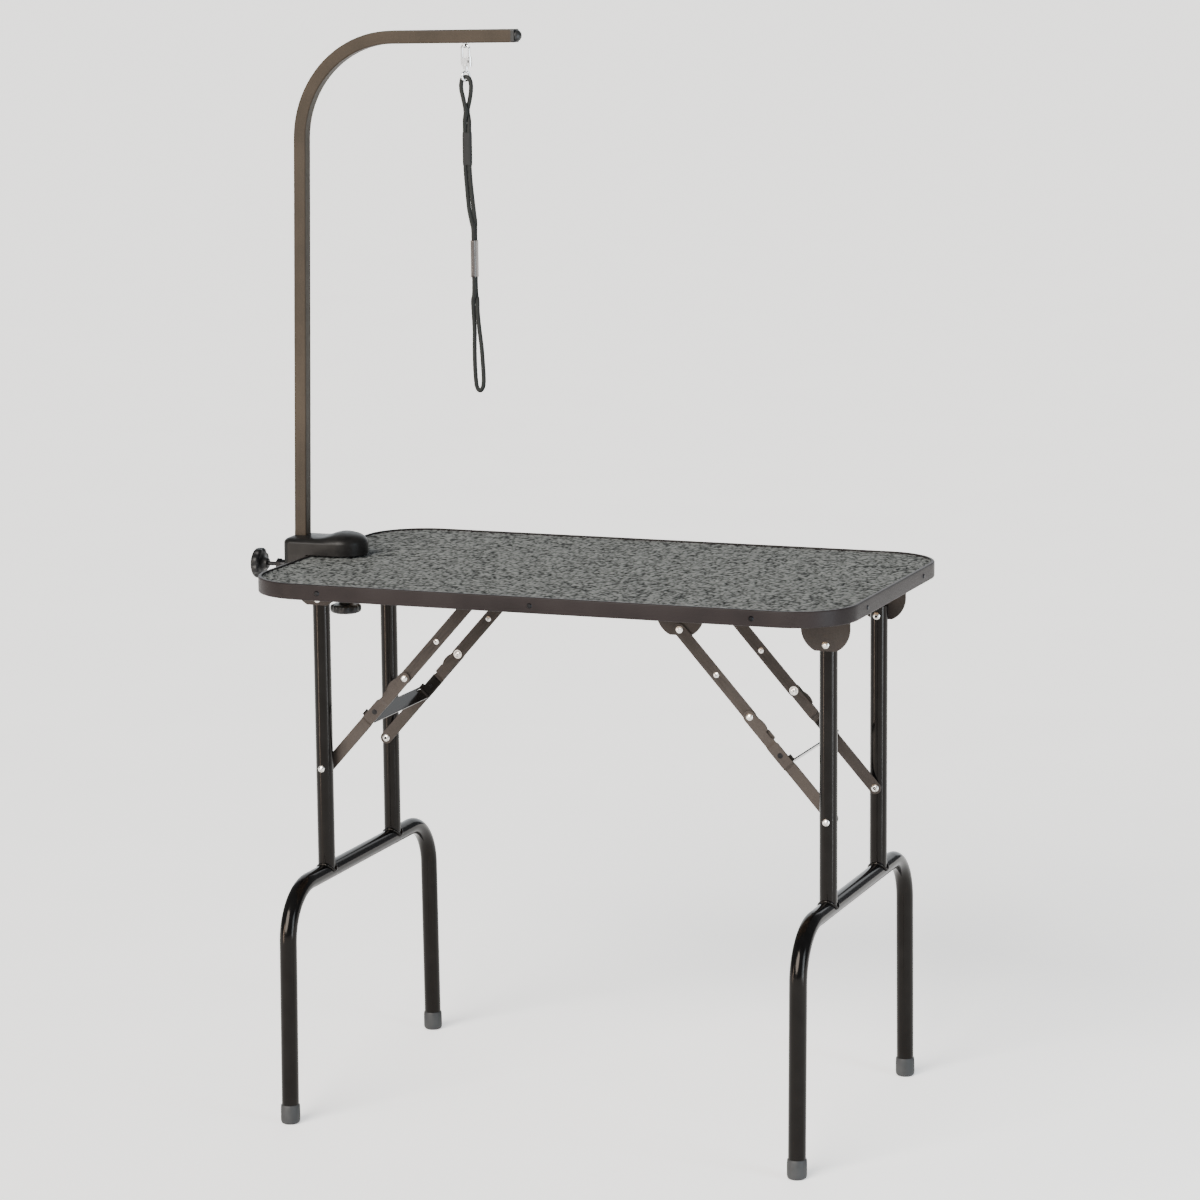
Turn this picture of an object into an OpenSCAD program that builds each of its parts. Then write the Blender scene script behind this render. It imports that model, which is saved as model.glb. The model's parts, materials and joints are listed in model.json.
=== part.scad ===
// Folding grooming table with a clamp-on arm.
// Frame: X along the table, -Y is the front, +Z up, origin on the floor under the table's middle.

/* [Table top] */
// Length over the rim
table_l = 900; // [880:5:960]
// Width over the rim
table_w = 540; // [520:5:600]
// Height of the rim's top edge above the floor
table_h = 800; // [790:2:830]
// Corner radius of the rim, seen from above
corner_r = 90; // [60:5:110]
// Height of the rim
rim_h = 23; // [22:1:28]
// Width of the lip that laps the mat's edge
rim_lip = 5; // [4:1:8]
// Thickness of the mat
mat_t = 3; // [2:0.5:4]

/* [Leg frames] */
// Outer diameter of the leg tube
tube_d = 25.4; // [22:0.1:26]
// Distance of the leg pivots from the table's middle
pivot_x = 388; // [380:1:392]
// Height of the left leg pivots
left_pivot_z = 754; // [752:1:756]
// Height of the right leg pivots, one tube lower so that the frames nest when folded
right_pivot_z = 731; // [728:1:733]
// Height of the left frame's cross tube
left_bar_z = 344; // [340:1:350]
// Height of the right frame's cross tube
right_bar_z = 351; // [345:1:356]
// Distance of each upright from the middle plane
upright_y = 120; // [115:1:125]
// Distance of each lower leg from the middle plane at its bend
leg_y = 257; // [250:1:262]
// Bend radius of the leg tube, on its centreline
leg_bend_r = 75; // [60:5:85]
// Outward splay of the lower legs
leg_splay = 1.2; // [0:0.2:2]

/* [Folding braces] */
// Distance from the leg pivot down to the brace rivet
brace_drop = 253; // [250:1:256]
// Distance from the leg pivot in to the brace bracket's pivot
brace_reach = 228; // [226:1:229]
// Share of the brace that is upper link
knuckle_share = 0.4635; // [0.463:0.0005:0.464]
// Width of the links
link_w = 18; // [16:1:20]

/* [Grooming arm] */
// Side of the square arm tube
arm_w = 19; // [18:0.5:20]
// Inward lean of the arm's upright
arm_lean = 1.2; // [0:0.2:2]
// Length of the upright above the rim's top edge
arm_rise = 614; // [400:4:700]
// Bend radius of the arm, on its centreline
arm_bend_r = 150; // [100:5:160]
// Angle that the arm is bent through
arm_bend = 88; // [85:1:91]
// Length of the straight end of the arm
arm_end = 188; // [160:2:260]
// Distance of the eye from the bend
eye_at = 114; // [60:2:150]

/* [Clamp] */
// Width of the plastic cover
cover_w = 70; // [60:2:76]
// Distance of the clamp screw from the table's middle
clamp_x = 404; // [400:1:408]
// Diameter over the lobes of both knobs
knob_d = 46; // [40:1:52]

/* [Noose] */
// Diameter of the cord
cord_d = 6.4; // [5:0.2:7]

/* [Hidden] */
$fn = 48;

gap = 0.2;               // running gap between parts that move past each other
sheet_t = 2.5;           // sheet steel of links and brackets

// Table top, from the top down.
mat_top = table_h - 2;
board_top = mat_top - mat_t;
rim_bottom = table_h - rim_h;
board_bottom = rim_bottom + 3;
rim_t = 2;
rim_screw_pitch = 325;
rim_side_screw_y = 137;
rim_screw_z = table_h - 12;

// Leg tube.
tube_r = tube_d / 2;
tube_wall = 1.5;
tube_top = 14;           // tube above its pivot
foot_r = 14.3;
foot_h = 29;
foot_floor = 5;          // rubber under the tube's end
pin_r = 4;
pin_clear = 0.08;        // radial running clearance of a pin

// Planes of the braces, as distances from the middle plane.
tube_in = upright_y - tube_r;
tube_out = upright_y + tube_r;
leg_plate_y = tube_out + 0.3;
lower_y = tube_in - 3 - sheet_t;          // inner face of the lower links
link_space = 1.6;                          // between upper and lower links
upper_y = lower_y - link_space - sheet_t;  // inner face of the upper links
brace_plate_y = upper_y - 0.3 - sheet_t;   // inner face of the brace brackets
pocket = 2.2;                              // how far the lower link's pocket stands out
flange_t = 2;
flange_y = lower_y + pocket - flange_t;    // inner face of the cross plate's flange

// Brace geometry, from the leg pivot, inward as -X.
brace_rise = 3;                            // brace bracket's pivot above the leg pivot
brace_dx = brace_reach;
brace_dz = brace_drop + brace_rise;
brace_l = sqrt(brace_dx * brace_dx + brace_dz * brace_dz);
upper_l = brace_l * knuckle_share;
lower_l = brace_l - upper_l;
brace_a = atan2(brace_dz, brace_dx);       // slope of the straight brace
link_r = link_w / 2;
pocket_from = 52;                          // from the knuckle, along the lower link
pocket_to = 88;
plate_at = 85;
stud_at = 76;

// Brackets.
lobe_r = 36;
lobe_up = 24;
lobe_cut = 8.5;
flange_w = 24;

// Arm, in the plane y = 0.
arm_x = -472.5;
arm_r = 2;
arm_wall = 1.5;
arm_foot = 66;                             // arm below the rim's top edge
up = [sin(arm_lean), cos(arm_lean)];       // along the upright, as [x, z]
side = [cos(arm_lean), -sin(arm_lean)];
bend_c = [arm_x, table_h] + up * arm_rise + side * arm_bend_r;
end_a = arm_lean + arm_bend;               // heading of the end, from vertical
bend_end = bend_c - arm_bend_r * [cos(end_a), -sin(end_a)];
along = [sin(end_a), cos(end_a)];
eye_x = bend_end[0] + along[0] * eye_at + cos(end_a) * arm_w / 2;
eye_z = bend_end[1] + along[1] * eye_at - sin(end_a) * arm_w / 2;

// Clamp.
column_x = [-488, -455];
jaw_y = 17;
jaw_z = table_h + 0.2;
jaw_t = 6;
lower_jaw_z = 741;
lower_jaw_t = 12;
cover_left = -491;
cover_t = 2.5;
skirt_right = -452;
skirt_bottom = 765;
shoulder_z = 816;
block_top = 821;
crown_top = 824;
dome_top = 834;
dome_h = dome_top - shoulder_z;
cover_r = cover_w / 2;
dome_r = (cover_r * cover_r + dome_h * dome_h) / (2 * dome_h);
screw_r = 5;
lock_r = 3;
lock_z = 779;
lock_tip_x = arm_x - (table_h - lock_z) * tan(arm_lean) - arm_w / 2 / cos(arm_lean) - gap;
knob_t = 14;
flute_depth = 1.8;
flute_r = 5.5;
clamp_knob_z = 710;
lock_knob_x = -545;

// Snap hook, hanging on the eye.
eye_r = 6.5;
eye_wire = 1.5;
eye_flat = 1.5;          // half the straight length that the hook hangs on
hook_r = 5.5;
hook_wire = 2;
hook_z = eye_z - eye_r + eye_wire - hook_r + hook_wire + 0.1;
bolt_x = eye_x + hook_r;
barrel_r = 4.2;
barrel_top = hook_z - 11;
barrel_bottom = hook_z - 25;
swivel_z = hook_z - 29;
ring_r = 6.4;
ring_wire = 1.7;
ring_z = 1497.3 + ring_r + ring_wire;

// Noose: the cord's route as [x, y, z], from inside the sleeve up through the ring,
// down to the bottom loop and back up into the sleeve.
noose_x = -197;
sleeve_z = [1378, 1425];
slider_x = -188;
slider_z = [1217, 1270];
strand = 3.3;            // half the distance between the two strands
noose_route = [
    [-200.3, 0, 1401], [-200.3, 0, 1426], [-199.5, -2, 1442], [-197.5, -3.4, 1456],
    [-201, -2, 1472], [-205, 0, 1486], [-205, 0, 1496], [-202.4, 0, 1502.6], [-197.7, 0, 1504.4],
    [-193, 0, 1502.6], [-190.4, 0, 1496], [-190, 0, 1486], [-193, 2, 1472], [-197, 3.4, 1456],
    [-194.5, 2, 1442], [-193.7, 0, 1426], [-193.7, 0, 1374], [-191.7, 0, 1345],
    [-188.7, 0.5, 1315], [-187.3, 2.6, 1295], [-188, 3.3, 1280], [-188, 3.3, 1200],
    [-185.5, 2, 1183], [-184.3, 0, 1165], [-182, 0, 1140], [-179, 0, 1115], [-177.3, 0, 1090],
    [-176.3, 0, 1068], [-177.8, 0, 1056], [-182.3, 0, 1051.5], [-186.8, 0, 1056],
    [-188.7, 0, 1068], [-189.8, 0, 1090], [-190, 0, 1115], [-189.6, 0, 1140],
    [-190.9, 0, 1165], [-190.5, -2, 1183], [-188, -3.3, 1200], [-188, -3.3, 1280],
    [-190.5, -2.6, 1295], [-195.3, -0.5, 1315], [-198.3, 0, 1345], [-200.3, 0, 1374],
    [-200.3, 0, 1397]];
cord_sides = 8;
ring_step = 20;          // a second ring goes in where two route points are further apart

rim_c = [0.30, 0.27, 0.26];
steel_c = [0.36, 0.32, 0.29];
black_c = [0.13, 0.14, 0.14];
chrome_c = [0.86, 0.86, 0.84];

// ---------- helpers ----------

// Rounded rectangle, centred.
module rounded(l, w, r) {
    square([l - 2 * r, w], center = true);
    square([l, w - 2 * r], center = true);
    for (x = [-1, 1], y = [-1, 1]) translate([x * (l / 2 - r), y * (w / 2 - r)]) circle(r, $fn = 64);
}

// A slab of the table's outline, set in from the rim's outside.
module slab(inset, low, high) {
    translate([0, 0, low]) linear_extrude(high - low)
        rounded(table_l - 2 * inset, table_w - 2 * inset, corner_r - inset);
}

// Front and rear copies of something made for +Y.
module front_and_rear() {
    children();
    mirror([0, 1, 0]) children();
}

// Puts a child drawn about the right leg pivot onto either side of the table.
module at_side(s) {
    z = s < 0 ? left_pivot_z : right_pivot_z;
    mirror([s < 0 ? 1 : 0, 0, 0]) translate([pivot_x, 0, z]) children();
}

// A cylinder along +Y from y0 to y1 at [x, z].
module pin_y(x, z, y0, y1, r) {
    translate([x, y1, z]) rotate([90, 0, 0]) cylinder(h = y1 - y0, r = r);
}

// A flat XZ outline standing from y0 to y1.
module plate_y(y0, y1) {
    translate([0, y1, 0]) rotate([90, 0, 0]) linear_extrude(y1 - y0) children();
}

// Frame of one brace: child drawn with +X from the knuckle down to the brace rivet,
// +Y towards the table's corner and -Z outward from the middle plane.
module at_knuckle() {
    translate([-brace_dx + upper_l * cos(brace_a), 0, brace_rise - upper_l * sin(brace_a)])
        rotate([0, brace_a, 0]) rotate([90, 0, 0]) children();
}

// A flat outline in the brace's frame, from y0 to y1 away from the middle plane.
module link_plate(y0, y1) {
    translate([0, 0, -y1]) linear_extrude(y1 - y0) children();
}

// A pin across the brace at x along it.
module link_pin(x, y0, y1, r) {
    translate([x, 0, -y1]) cylinder(h = y1 - y0, r = r);
}

// Round strip between two points on the X axis.
module strip(x0, x1, r) {
    translate([x0, -r]) square([x1 - x0, 2 * r]);
    for (x = [x0, x1]) translate([x, 0]) circle(r);
}

// Square tube section with rounded corners.
module arm_section(w, r) {
    square([w - 2 * r, w], center = true);
    square([w, w - 2 * r], center = true);
    for (x = [-1, 1], y = [-1, 1]) translate([x * (w / 2 - r), y * (w / 2 - r)]) circle(r, $fn = 24);
}

// ---------- table top ----------

module board() {
    color("burlywood") difference() {
        slab(rim_t + 0.5, board_bottom, board_top);
        rim_screw_set();
        bracket_screw_set();
    }
}

module mat() { color(black_c) slab(rim_t + 0.5, board_top, mat_top - gap); }

module edge_rim() {
    color(rim_c) difference() {
        slab(0, rim_bottom, table_h);
        slab(rim_t, rim_bottom + 1.6, mat_top);
        slab(rim_lip, mat_top - 1, table_h + 1);
        slab(9, rim_bottom - 1, rim_bottom + 3);
        rim_screw_set();
    }
}

// One screw whose axis is +Y inward, with its head on the rim's outside.
module rim_screw() {
    rotate([-90, 0, 0]) {
        translate([0, 0, -1.4]) cylinder(h = 1.4, r1 = 2.6, r2 = 3.8);
        cylinder(h = rim_t, r = 2);
        translate([0, 0, rim_t]) cylinder(h = 12, r = 1.8);
    }
}

module rim_screw_set() {
    for (a = [0, 180], x = [-1, 0, 1]) rotate([0, 0, a])
        translate([x * rim_screw_pitch, -table_w / 2, rim_screw_z]) rim_screw();
    for (a = [0, 180], y = [-1, 1]) rotate([0, 0, a])
        translate([table_l / 2, y * rim_side_screw_y, rim_screw_z]) rotate([0, 0, 90]) rim_screw();
}

module rim_screws() { color(black_c) rim_screw_set(); }

// Screws up through one bracket's flange, whose underside is at z and middle at y.
module flange_screws(y, z) {
    for (x = [-22, 22]) translate([x, y, z]) {
        translate([0, 0, -2]) cylinder(h = 2, r1 = 2.8, r2 = 4);
        cylinder(h = sheet_t + 9, r = 1.8);
    }
}

module bracket_screw_set() {
    for (s = [-1, 1]) at_side(s) front_and_rear() {
        top = board_bottom - (s < 0 ? left_pivot_z : right_pivot_z);
        flange_screws(leg_plate_y + sheet_t + flange_w / 2, top - sheet_t);
        translate([-brace_dx, 0, 0]) flange_screws(brace_plate_y - flange_w / 2, top - sheet_t);
    }
}

module bracket_screws() { color(steel_c) bracket_screw_set(); }

// ---------- brackets ----------

// Lobed outline of a bracket: the pivot is at the origin and the flange's top at z = top.
module lobe_outline(top) {
    intersection() {
        union() {
            translate([0, lobe_up]) circle(lobe_r, $fn = 96);
            translate([-lobe_r, lobe_up]) square([2 * lobe_r, lobe_r]);
        }
        translate([-lobe_r, -lobe_cut]) square([2 * lobe_r, top + lobe_cut]);
    }
}

// Bracket plate from y0 outward with its flange on the side given by out (1 or -1).
module bracket(y0, top, out) {
    difference() {
        union() {
            plate_y(y0, y0 + sheet_t) lobe_outline(top);
            translate([-lobe_r, out > 0 ? y0 : y0 + sheet_t - flange_w - sheet_t, top - sheet_t])
                cube([2 * lobe_r, flange_w + sheet_t, sheet_t]);
        }
        pin_y(0, 0, y0 - 1, y0 + sheet_t + 1, pin_r);
        flange_screws(out > 0 ? y0 + sheet_t + flange_w / 2 : y0 - flange_w / 2, top - sheet_t);
    }
}

module leg_brackets(s) {
    top = board_bottom - (s < 0 ? left_pivot_z : right_pivot_z);
    color(steel_c) at_side(s) front_and_rear() bracket(leg_plate_y, top, 1);
}

module brace_brackets(s) {
    top = board_bottom - (s < 0 ? left_pivot_z : right_pivot_z) - brace_rise;
    color(steel_c) at_side(s) front_and_rear()
        translate([-brace_dx, 0, brace_rise]) bracket(brace_plate_y, top, -1);
}

// Domed rivet head on the face at y, growing the way out (1 or -1) points.
module rivet_head(x, z, y, out, h, r) {
    translate([x, y, z]) rotate([-90 * out, 0, 0]) intersection() {
        cylinder(h = h, r = r);
        translate([0, 0, h - (r * r + h * h) / (2 * h)]) sphere((r * r + h * h) / (2 * h), $fn = 64);
    }
}

module bracket_rivets(s) {
    color("silver") at_side(s) front_and_rear() {
        pin_y(0, 0, tube_in - gap, leg_plate_y + sheet_t, pin_r);
        rivet_head(0, 0, leg_plate_y + sheet_t, 1, 2.4, 5.2);
        rivet_head(0, 0, tube_in - gap, -1, 2.4, 5.2);
        translate([-brace_dx, 0, brace_rise]) {
            pin_y(0, 0, brace_plate_y, upper_y + sheet_t + 0.1, pin_r);
            rivet_head(0, 0, upper_y + sheet_t + 0.1, 1, 1.2, 5.2);
            rivet_head(0, 0, brace_plate_y, -1, 2, 5.2);
        }
    }
}

// ---------- leg frames ----------

// Cross tube's height seen from the pivot.
function bar_at(s) = s < 0 ? left_bar_z - left_pivot_z : right_bar_z - right_pivot_z;

module uprights(s) {
    color(black_c) at_side(s) front_and_rear() difference() {
        translate([0, upright_y, bar_at(s)]) cylinder(h = tube_top - bar_at(s), r = tube_r);
        translate([0, upright_y, bar_at(s) - 1])
            cylinder(h = tube_top - bar_at(s) + 2, r = tube_r - tube_wall);
        translate([0, 0, bar_at(s)]) rotate([90, 0, 0])
            cylinder(h = 2 * leg_y, r = tube_r, center = true);
        pin_y(0, 0, tube_in - 1, tube_out + 1, pin_r + pin_clear);
        pin_y(0, -brace_drop, tube_in - 1, tube_out + 1, pin_r);
    }
}

// The bent leg tube as a solid of radius r.
module leg_path(s, r) {
    bar = bar_at(s);
    pivot_z = s < 0 ? left_pivot_z : right_pivot_z;
    drop = (pivot_z + bar - leg_bend_r + leg_bend_r * sin(leg_splay) - foot_floor) / cos(leg_splay);
    translate([0, 0, bar]) rotate([90, 0, 0])
        cylinder(h = 2 * (leg_y - leg_bend_r), r = r, center = true);
    front_and_rear() translate([0, leg_y - leg_bend_r, bar - leg_bend_r]) rotate([90, 0, 90]) {
        rotate([0, 0, leg_splay]) rotate_extrude(angle = 90 - leg_splay, $fn = 96)
            translate([leg_bend_r, 0]) circle(r);
        rotate([0, 0, leg_splay]) translate([leg_bend_r, 0, 0]) rotate([90, 0, 0])
            cylinder(h = drop, r = r);
    }
}

module leg_tube(s) {
    color(black_c) at_side(s) difference() {
        leg_path(s, tube_r);
        leg_path(s, tube_r - tube_wall);
    }
}

module weld_beads(s) {
    color(black_c) at_side(s) front_and_rear() difference() {
        translate([0, upright_y, bar_at(s) + tube_r * 0.72]) rotate_extrude()
            translate([tube_r, 0]) circle(2.4, $fn = 24);
        translate([0, upright_y, bar_at(s)]) cylinder(h = 40, r = tube_r);
        translate([0, 0, bar_at(s)]) rotate([90, 0, 0])
            cylinder(h = 2 * leg_y, r = tube_r, center = true);
    }
}

module feet(s) {
    pivot_z = s < 0 ? left_pivot_z : right_pivot_z;
    drop = pivot_z + bar_at(s) - leg_bend_r + leg_bend_r * sin(leg_splay);
    foot_y = leg_y - leg_bend_r + leg_bend_r * cos(leg_splay) + drop * tan(leg_splay);
    color("dimgray") at_side(s) front_and_rear() translate([0, foot_y, -pivot_z]) difference() {
        rotate([leg_splay, 0, 0]) translate([0, 0, -2]) cylinder(h = foot_h + 2, r = foot_r);
        rotate([leg_splay, 0, 0]) translate([0, 0, foot_floor / cos(leg_splay)])
            cylinder(h = foot_h, r = tube_r);
        translate([-2 * foot_r, -2 * foot_r, -10]) cube([4 * foot_r, 4 * foot_r, 10]);
    }
}

module brace_rivets(s) {
    color("silver") at_side(s) front_and_rear() {
        pin_y(0, -brace_drop, lower_y - gap, tube_out, pin_r);
        rivet_head(0, -brace_drop, tube_out, 1, 2.4, 5.2);
        rivet_head(0, -brace_drop, lower_y - gap, -1, 2.2, 5.6);
    }
}

module brace_washers(s) {
    color("silver") at_side(s) front_and_rear() difference() {
        pin_y(0, -brace_drop, lower_y + sheet_t + 0.1, tube_in, 7);
        pin_y(0, -brace_drop, lower_y, tube_in + 1, pin_r);
    }
}

// ---------- folding braces ----------

module upper_links(s) {
    color(steel_c) at_side(s) front_and_rear() at_knuckle() difference() {
        link_plate(upper_y, upper_y + sheet_t) {
            strip(-upper_l, 0, link_r);
            translate([0, -link_r + 1]) square([46, 2 * link_r - 2]);
            translate([31, 0]) square([14, link_r]);
        }
        link_pin(-upper_l, upper_y - 1, lower_y, pin_r + pin_clear);
        link_pin(0, upper_y - 1, lower_y, pin_r);
        link_pin(-stud_at, upper_y - 1, lower_y, 2);
    }
}

// A head in the brace's frame at x along it.
module link_head(x, y, out, h, r) {
    translate([x, 0, -y]) rotate([out > 0 ? 180 : 0, 0, 0]) intersection() {
        cylinder(h = h, r = r);
        translate([0, 0, h - (r * r + h * h) / (2 * h)]) sphere((r * r + h * h) / (2 * h), $fn = 64);
    }
}

module link_studs(s) {
    color("silver") at_side(s) front_and_rear() at_knuckle() {
        link_pin(-stud_at, upper_y, upper_y + sheet_t, 2);
        link_head(-stud_at, upper_y + sheet_t, 1, 1.2, 4.2);
        link_head(-stud_at, upper_y, -1, 1.2, 4.2);
        link_pin(0, upper_y - 0.8, upper_y, 6.6);
        link_pin(0, upper_y, upper_y + sheet_t, pin_r);
        link_head(0, upper_y - 0.8, -1, 1.4, 5);
    }
}

// Outline of a lower link, with its swelling and stop notch on the corner side.
module lower_outline() {
    difference() {
        union() {
            strip(0, lower_l, link_r);
            intersection() {
                translate([20, -13]) circle(24.5, $fn = 96);
                square([48, 30]);
            }
        }
        translate([31, 5.5]) square([13, 20]);
        translate([47, 20]) circle(13, $fn = 64);
    }
}

// Edge-on profile of a lower link: flat, with a pocket that stands outward.
module lower_profile() {
    line = [[-20, 0], [pocket_from - 4, 0], [pocket_from, pocket], [pocket_to, pocket],
        [pocket_to + 4, 0], [lower_l + 20, 0]];
    n = len(line);
    rotate([90, 0, 0]) linear_extrude(80, center = true) polygon(concat(
        [for (p = line) [p[0], -lower_y - p[1]]],
        [for (i = [n - 1:-1:0]) [line[i][0], -lower_y - sheet_t - line[i][1]]]));
}

module lower_links(s) {
    color(steel_c) at_side(s) front_and_rear() at_knuckle() difference() {
        intersection() {
            link_plate(lower_y - 1, lower_y + sheet_t + pocket + 1) lower_outline();
            lower_profile();
        }
        link_pin(0, lower_y - 1, lower_y + sheet_t + 1, pin_r);
        link_pin(lower_l, lower_y - 1, lower_y + sheet_t + 1, pin_r + pin_clear);
        link_pin(70, lower_y, lower_y + sheet_t + pocket + 1, 4);
    }
}

module knuckle_rivets(s) {
    color("silver") at_side(s) front_and_rear() at_knuckle() {
        link_pin(0, lower_y - link_space + gap, lower_y + sheet_t, pin_r);
        link_head(0, lower_y + sheet_t, 1, 2.2, 5.2);
        difference() {
            link_pin(0, lower_y - link_space + gap, lower_y, 8);
            link_pin(0, lower_y - link_space, lower_y + 1, pin_r);
        }
    }
}

// The cross plate stands square to the lower links. Beside each link it is cut back to a
// neck, so that the upper link can swing home, and the neck carries a flange in the pocket.
module cross_plate(s) {
    plate_end = brace_plate_y + 1.5;
    ear = 3.6;           // how far the neck stands out past the link's edge
    color(black_c) at_side(s) front_and_rear() at_knuckle() difference() {
        union() {
            translate([plate_at, 0, 0]) rotate([0, 90, 0]) linear_extrude(flange_t) {
                translate([0, -link_r]) square([plate_end, 2 * link_r]);
                square([plate_end - 8, link_r + ear]);
                translate([0, link_r + 1]) square([flange_y + flange_t, ear - 1]);
            }
            link_plate(flange_y, flange_y + flange_t) {
                translate([pocket_from + 3, 1 - link_r])
                    square([plate_at + flange_t - pocket_from - 3, 2 * link_r - 2]);
                translate([plate_at - 8, 0]) square([8 + flange_t, link_r + ear]);
            }
        }
        link_pin(70, flange_y - 1, flange_y + flange_t + 1, 2.5);
    }
}

module plate_screws(s) {
    color(black_c) at_side(s) front_and_rear() at_knuckle() {
        link_pin(70, flange_y, flange_y + flange_t, 2.5);
        link_pin(70, flange_y + flange_t, flange_y + flange_t + sheet_t, 4);
    }
}

// ---------- clamp ----------

// Fluted knob with its axis on +Z, its flat hub end at z = 0 and its domed end at -h.
module knob_shape(bore) {
    r = knob_d / 2;
    difference() {
        union() {
            translate([0, 0, -8]) cylinder(h = 8, r1 = 11, r2 = 8);
            intersection() {
                translate([0, 0, -8 - knob_t]) linear_extrude(knob_t) difference() {
                    circle(r, $fn = 96);
                    for (a = [0:45:315]) rotate([0, 0, a])
                        translate([r + flute_r - flute_depth, 0]) circle(flute_r);
                }
                translate([0, 0, -8 - knob_t + 46]) sphere(46, $fn = 96);
            }
        }
        translate([0, 0, -8 - knob_t + 3]) cylinder(h = knob_t + 8, r = bore);
    }
}

// The arm's outside, w wide, from z0 below the rim's top edge to z1 above it.
module arm_bar(w, r, z0, z1) {
    translate([arm_x, 0, table_h]) rotate([0, arm_lean, 0]) translate([0, 0, -z0])
        linear_extrude(z0 + z1) arm_section(w, r);
}

module cover_screw_set() {
    for (x = [-437, -392]) translate([x, 0, jaw_z + 0.1]) {
        cylinder(h = 2, r1 = 3.2, r2 = 1.6);
        cylinder(h = 11, r = 1.6);
    }
}

module clamp_frame() {
    color(steel_c) difference() {
        union() {
            translate([column_x[0], -jaw_y, lower_jaw_z])
                cube([column_x[1] - column_x[0], 2 * jaw_y, jaw_z + jaw_t - lower_jaw_z]);
            translate([column_x[0], -jaw_y, lower_jaw_z])
                cube([-clamp_x - column_x[0], 2 * jaw_y, lower_jaw_t]);
            translate([-clamp_x, 0, lower_jaw_z]) cylinder(h = lower_jaw_t, r = jaw_y);
            translate([column_x[0], -jaw_y, jaw_z])
                cube([-clamp_x + 10 - column_x[0], 2 * jaw_y, jaw_t]);
            translate([-clamp_x + 10, 0, jaw_z]) cylinder(h = jaw_t, r = jaw_y);
        }
        arm_bar(arm_w + 2 * gap, arm_r, 90, 20);
        translate([-clamp_x, 0, lower_jaw_z - 1])
            cylinder(h = lower_jaw_t + 2, r = screw_r + pin_clear);
        translate([column_x[0] - 1, 0, lock_z]) rotate([0, 90, 0])
            cylinder(h = 9, r = lock_r + pin_clear);
        cover_screw_set();
    }
}

// Plan of the cover, set in by the given amount.
module cover_plan(inset) {
    translate([(cover_left - clamp_x) / 2, 0])
        rounded(-clamp_x - cover_left - 2 * inset, cover_w - 2 * inset, max(7 - inset, 2));
    translate([-clamp_x - 20, inset - cover_r]) square([20, cover_w - 2 * inset]);
    translate([-clamp_x, 0]) circle(cover_r - inset, $fn = 96);
}

module clamp_cover() {
    foot_z = table_h + 2 * gap;
    roof_z = 812;
    skirt_l = skirt_right - cover_left;
    color(black_c) difference() {
        union() {
            translate([0, 0, foot_z]) linear_extrude(shoulder_z - foot_z) cover_plan(0);
            translate([0, 0, shoulder_z]) linear_extrude(block_top - shoulder_z) cover_plan(2.5);
            translate([0, 0, block_top]) linear_extrude(crown_top - block_top) cover_plan(9);
            intersection() {
                translate([-clamp_x, 0, dome_top - dome_r]) sphere(dome_r, $fn = 128);
                translate([-clamp_x, 0, shoulder_z]) cylinder(h = dome_h, r = cover_r, $fn = 96);
            }
            translate([cover_left + skirt_l / 2, 0, skirt_bottom])
                linear_extrude(foot_z - skirt_bottom) rounded(skirt_l, cover_w, 7);
        }
        difference() {
            translate([0, 0, foot_z - 1]) linear_extrude(roof_z - foot_z + 1) cover_plan(cover_t);
            for (x = [-437, -392]) translate([x, 0, jaw_z + jaw_t + gap]) cylinder(h = 9, r = 4.5);
        }
        translate([cover_left + cover_t, cover_t - cover_r, skirt_bottom - 1])
            cube([skirt_l + 10, cover_w - 2 * cover_t, foot_z - skirt_bottom + 2]);
        arm_bar(arm_w + 0.8, arm_r, 0, 40);
        translate([cover_left - 1, 0, lock_z]) rotate([0, 90, 0]) cylinder(h = 8, r = 7.2);
        cover_screw_set();
    }
}

module cover_screws() { color("silver") cover_screw_set(); }

module jaw_pad() {
    color(black_c) difference() {
        translate([-443, -15, mat_top]) cube([60, 30, jaw_z - mat_top]);
        for (x = [-437, -392]) translate([x, 0, mat_top - 1]) cylinder(h = 9, r = 3.6);
    }
}

module swivel_pad() {
    color(steel_c) translate([-clamp_x, 0, 0]) difference() {
        union() {
            translate([0, 0, 775]) cylinder(h = board_bottom - gap - 775, r = 16);
            translate([0, 0, 768]) cylinder(h = 7, r = 8);
        }
        translate([0, 0, 767]) cylinder(h = 7, r = 4 + pin_clear);
    }
}

module clamp_screw() {
    color("silver") translate([-clamp_x, 0, 0]) {
        translate([0, 0, clamp_knob_z + 3]) cylinder(h = 767.8 - clamp_knob_z - 3, r = screw_r);
        translate([0, 0, 767.8]) cylinder(h = 6, r = 4);
    }
}

module clamp_knob() { color(black_c) translate([-clamp_x, 0, clamp_knob_z + knob_t + 8]) knob_shape(screw_r); }

module lock_boss() {
    color(steel_c) translate([0, 0, lock_z]) rotate([0, 90, 0]) difference() {
        union() {
            translate([0, 0, -508]) cylinder(h = 508 + column_x[0], r = 7);
            translate([0, 0, -514.5]) cylinder(h = 6.5, r = 8.5, $fn = 6);
        }
        translate([0, 0, -520]) cylinder(h = 40, r = lock_r + pin_clear);
    }
}

module lock_tip() {
    color("silver") translate([lock_tip_x - 3, 0, lock_z]) rotate([0, 90, 0])
        cylinder(h = 3, r = lock_r);
}

module lock_screw() {
    start = lock_knob_x - knob_t / 2 + 3;
    color("silver") translate([start, 0, lock_z]) rotate([0, 90, 0])
        cylinder(h = lock_tip_x - 3.1 - start, r = lock_r);
}

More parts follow.
